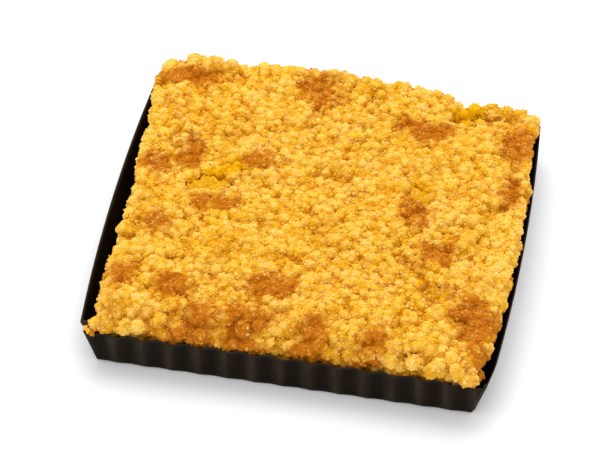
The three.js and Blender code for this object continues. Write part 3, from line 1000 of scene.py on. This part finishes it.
def curd_material():
    """Saturated yellow, deeper in places, with a soft shine."""
    material, tree, shader = new_material("lemon curd")
    yellow = (0.72, 0.38, 0.0015)
    deeper = (0.6, 0.28, 0.001)
    cloud = ranged(tree, noise_node(tree, scale=260), 0.35, 0.7)
    tree.links.new(mixed(tree, cloud, yellow, deeper), shader.inputs["Base Color"])
    shader.inputs["Roughness"].default_value = 0.35
    shader.inputs["Specular IOR Level"].default_value = 0.1
    shader.inputs["Subsurface Weight"].default_value = 0.3
    shader.inputs["Subsurface Radius"].default_value = (1.0, 0.6, 0.05)
    shader.inputs["Subsurface Scale"].default_value = 2 * MM
    relief = bump(tree, noise_node(tree, scale=700), strength=0.3, distance=0.3)
    tree.links.new(relief, shader.inputs["Normal"])
    return material


def tray_material():
    """Brown-black, with painted light in upright streaky bands where the folds turn out, and paler at the
    cut rim.
    """
    material, tree, shader = new_material("dark coated board")
    darkest = (0.0055, 0.0032, 0.0014)
    dark = (0.0095, 0.0058, 0.003)
    # Painted light: the colour of the lit flanks
    lit_flank_colour = (0.033, 0.023, 0.013)
    cut_edge = (0.03, 0.023, 0.017)
    cloud = ranged(tree, noise_node(tree, scale=45, detail=4.0), 0.3, 0.7)
    # Painted sheen: upright streaks that break up the painted light on the flanks
    upright = noise_node(tree, scale=330, detail=2.0, stretch=(1, 1, 0.06))
    sheen_streaks = ranged(tree, upright, 0.35, 0.65, 0.45, 1)
    flank_light_share = tree.nodes.new("ShaderNodeMath")
    flank_light_share.operation = "MULTIPLY"
    tree.links.new(attribute(tree, "painted_flank_light"), flank_light_share.inputs[0])
    tree.links.new(sheen_streaks, flank_light_share.inputs[1])
    colour = mixed(tree, cloud, darkest, dark)
    colour = mixed(tree, flank_light_share.outputs[0], colour, lit_flank_colour)
    colour = mixed(tree, attribute(tree, "cut"), colour, cut_edge)
    tree.links.new(colour, shader.inputs["Base Color"])
    shader.inputs["Specular IOR Level"].default_value = 0.03
    roughness = ranged(tree, noise_node(tree, scale=160), 0.3, 0.7, 0.36, 0.5)
    tree.links.new(roughness, shader.inputs["Roughness"])
    relief = bump(tree, noise_node(tree, scale=500, detail=4.0), strength=0.12, distance=0.2)
    tree.links.new(relief, shader.inputs["Normal"])
    return material


def floor_material():
    material, tree, shader = new_material("pale floor")
    pale = (0.88, 0.88, 0.88)
    paler = (0.9, 0.9, 0.9)
    colour = mixed(tree, noise_node(tree, scale=3), pale, paler)
    tree.links.new(colour, shader.inputs["Base Color"])
    shader.inputs["Roughness"].default_value = 0.9
    shader.inputs["Specular IOR Level"].default_value = 0.1
    shader.inputs["Emission Color"].default_value = (1, 1, 1, 1)
    shader.inputs["Emission Strength"].default_value = 0.04
    return material


# Stage

def add_floor():
    signs = ((-1, -1), (1, -1), (1, 1), (-1, 1))
    corners = np.array([(x * FLOOR_HALF, y * FLOOR_HALF, -FLOOR_DROP) for x, y in signs])
    mesh = mesh_from_arrays("floor", corners, np.array([[0, 1, 2, 3]]))
    mesh.materials.append(floor_material())
    floor = bpy.data.objects.new("floor", mesh)
    bpy.context.scene.collection.objects.link(floor)


def add_light(name, place, size, power):
    """A soft square light that faces the tart."""
    lamp = bpy.data.lights.new(name, "AREA")
    lamp.energy = power
    lamp.size = size
    light = bpy.data.objects.new(name, lamp)
    light.location = place
    light.rotation_euler = (-Vector(place)).to_track_quat("-Z", "Y").to_euler()
    bpy.context.scene.collection.objects.link(light)


def add_lights():
    world = bpy.data.worlds.new("white room")
    world.use_nodes = True
    tree = world.node_tree
    split = tree.nodes.new("ShaderNodeSeparateXYZ")
    tree.links.new(tree.nodes.new("ShaderNodeTexCoord").outputs["Generated"], split.inputs["Vector"])
    brightness = ranged(tree, split.outputs["Y"], *ROOM_TURN, *ROOM_BRIGHTNESS)
    tree.links.new(brightness, tree.nodes["Background"].inputs["Strength"])
    tree.nodes["Background"].inputs["Color"].default_value = (1, 1, 1, 1)
    bpy.context.scene.world = world
    for light in LIGHTS:
        add_light(*light)


def add_camera():
    sin_a, cos_a = math.sin(CAMERA_AZIMUTH), math.cos(CAMERA_AZIMUTH)
    sin_e, cos_e = math.sin(CAMERA_ELEVATION), math.cos(CAMERA_ELEVATION)
    back = Vector((sin_a * cos_e, -cos_a * cos_e, sin_e))
    level = Vector((cos_a, sin_a, 0))
    upright = back.cross(level)
    right = level * math.cos(CAMERA_ROLL) + upright * math.sin(CAMERA_ROLL)
    up = upright * math.cos(CAMERA_ROLL) - level * math.sin(CAMERA_ROLL)
    data = bpy.data.cameras.new("camera")
    data.lens = CAMERA_LENS
    data.sensor_width = SENSOR_WIDTH
    data.clip_end = CAMERA_REACH
    camera = bpy.data.objects.new("camera", data)
    turn = Matrix((right, up, back)).transposed()
    place = (CAMERA_TARGET + back * CAMERA_DISTANCE) * MM
    camera.matrix_world = Matrix.Translation(place) @ turn.to_4x4()
    bpy.context.scene.collection.objects.link(camera)
    bpy.context.scene.camera = camera


# The scene

add_camera()
add_lights()
add_floor()
bpy.context.scene.view_settings.view_transform = "Standard"

tray = add_piece("tray_sheet", tray_mesh(), tray_material())
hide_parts("tray")

crumb = crumble_material()
gel = curd_material()
body = crumble_core(crumb)
gels = [curd(node, gel) for node in sorted(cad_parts) if node.startswith("curd")]
centres, sizes = add_crumbs(skin_of([body, *gels]), crumb)
add_grains(skin_of([body, *gels]), centres, sizes, crumb)
add_rim_crumbs(crumb)
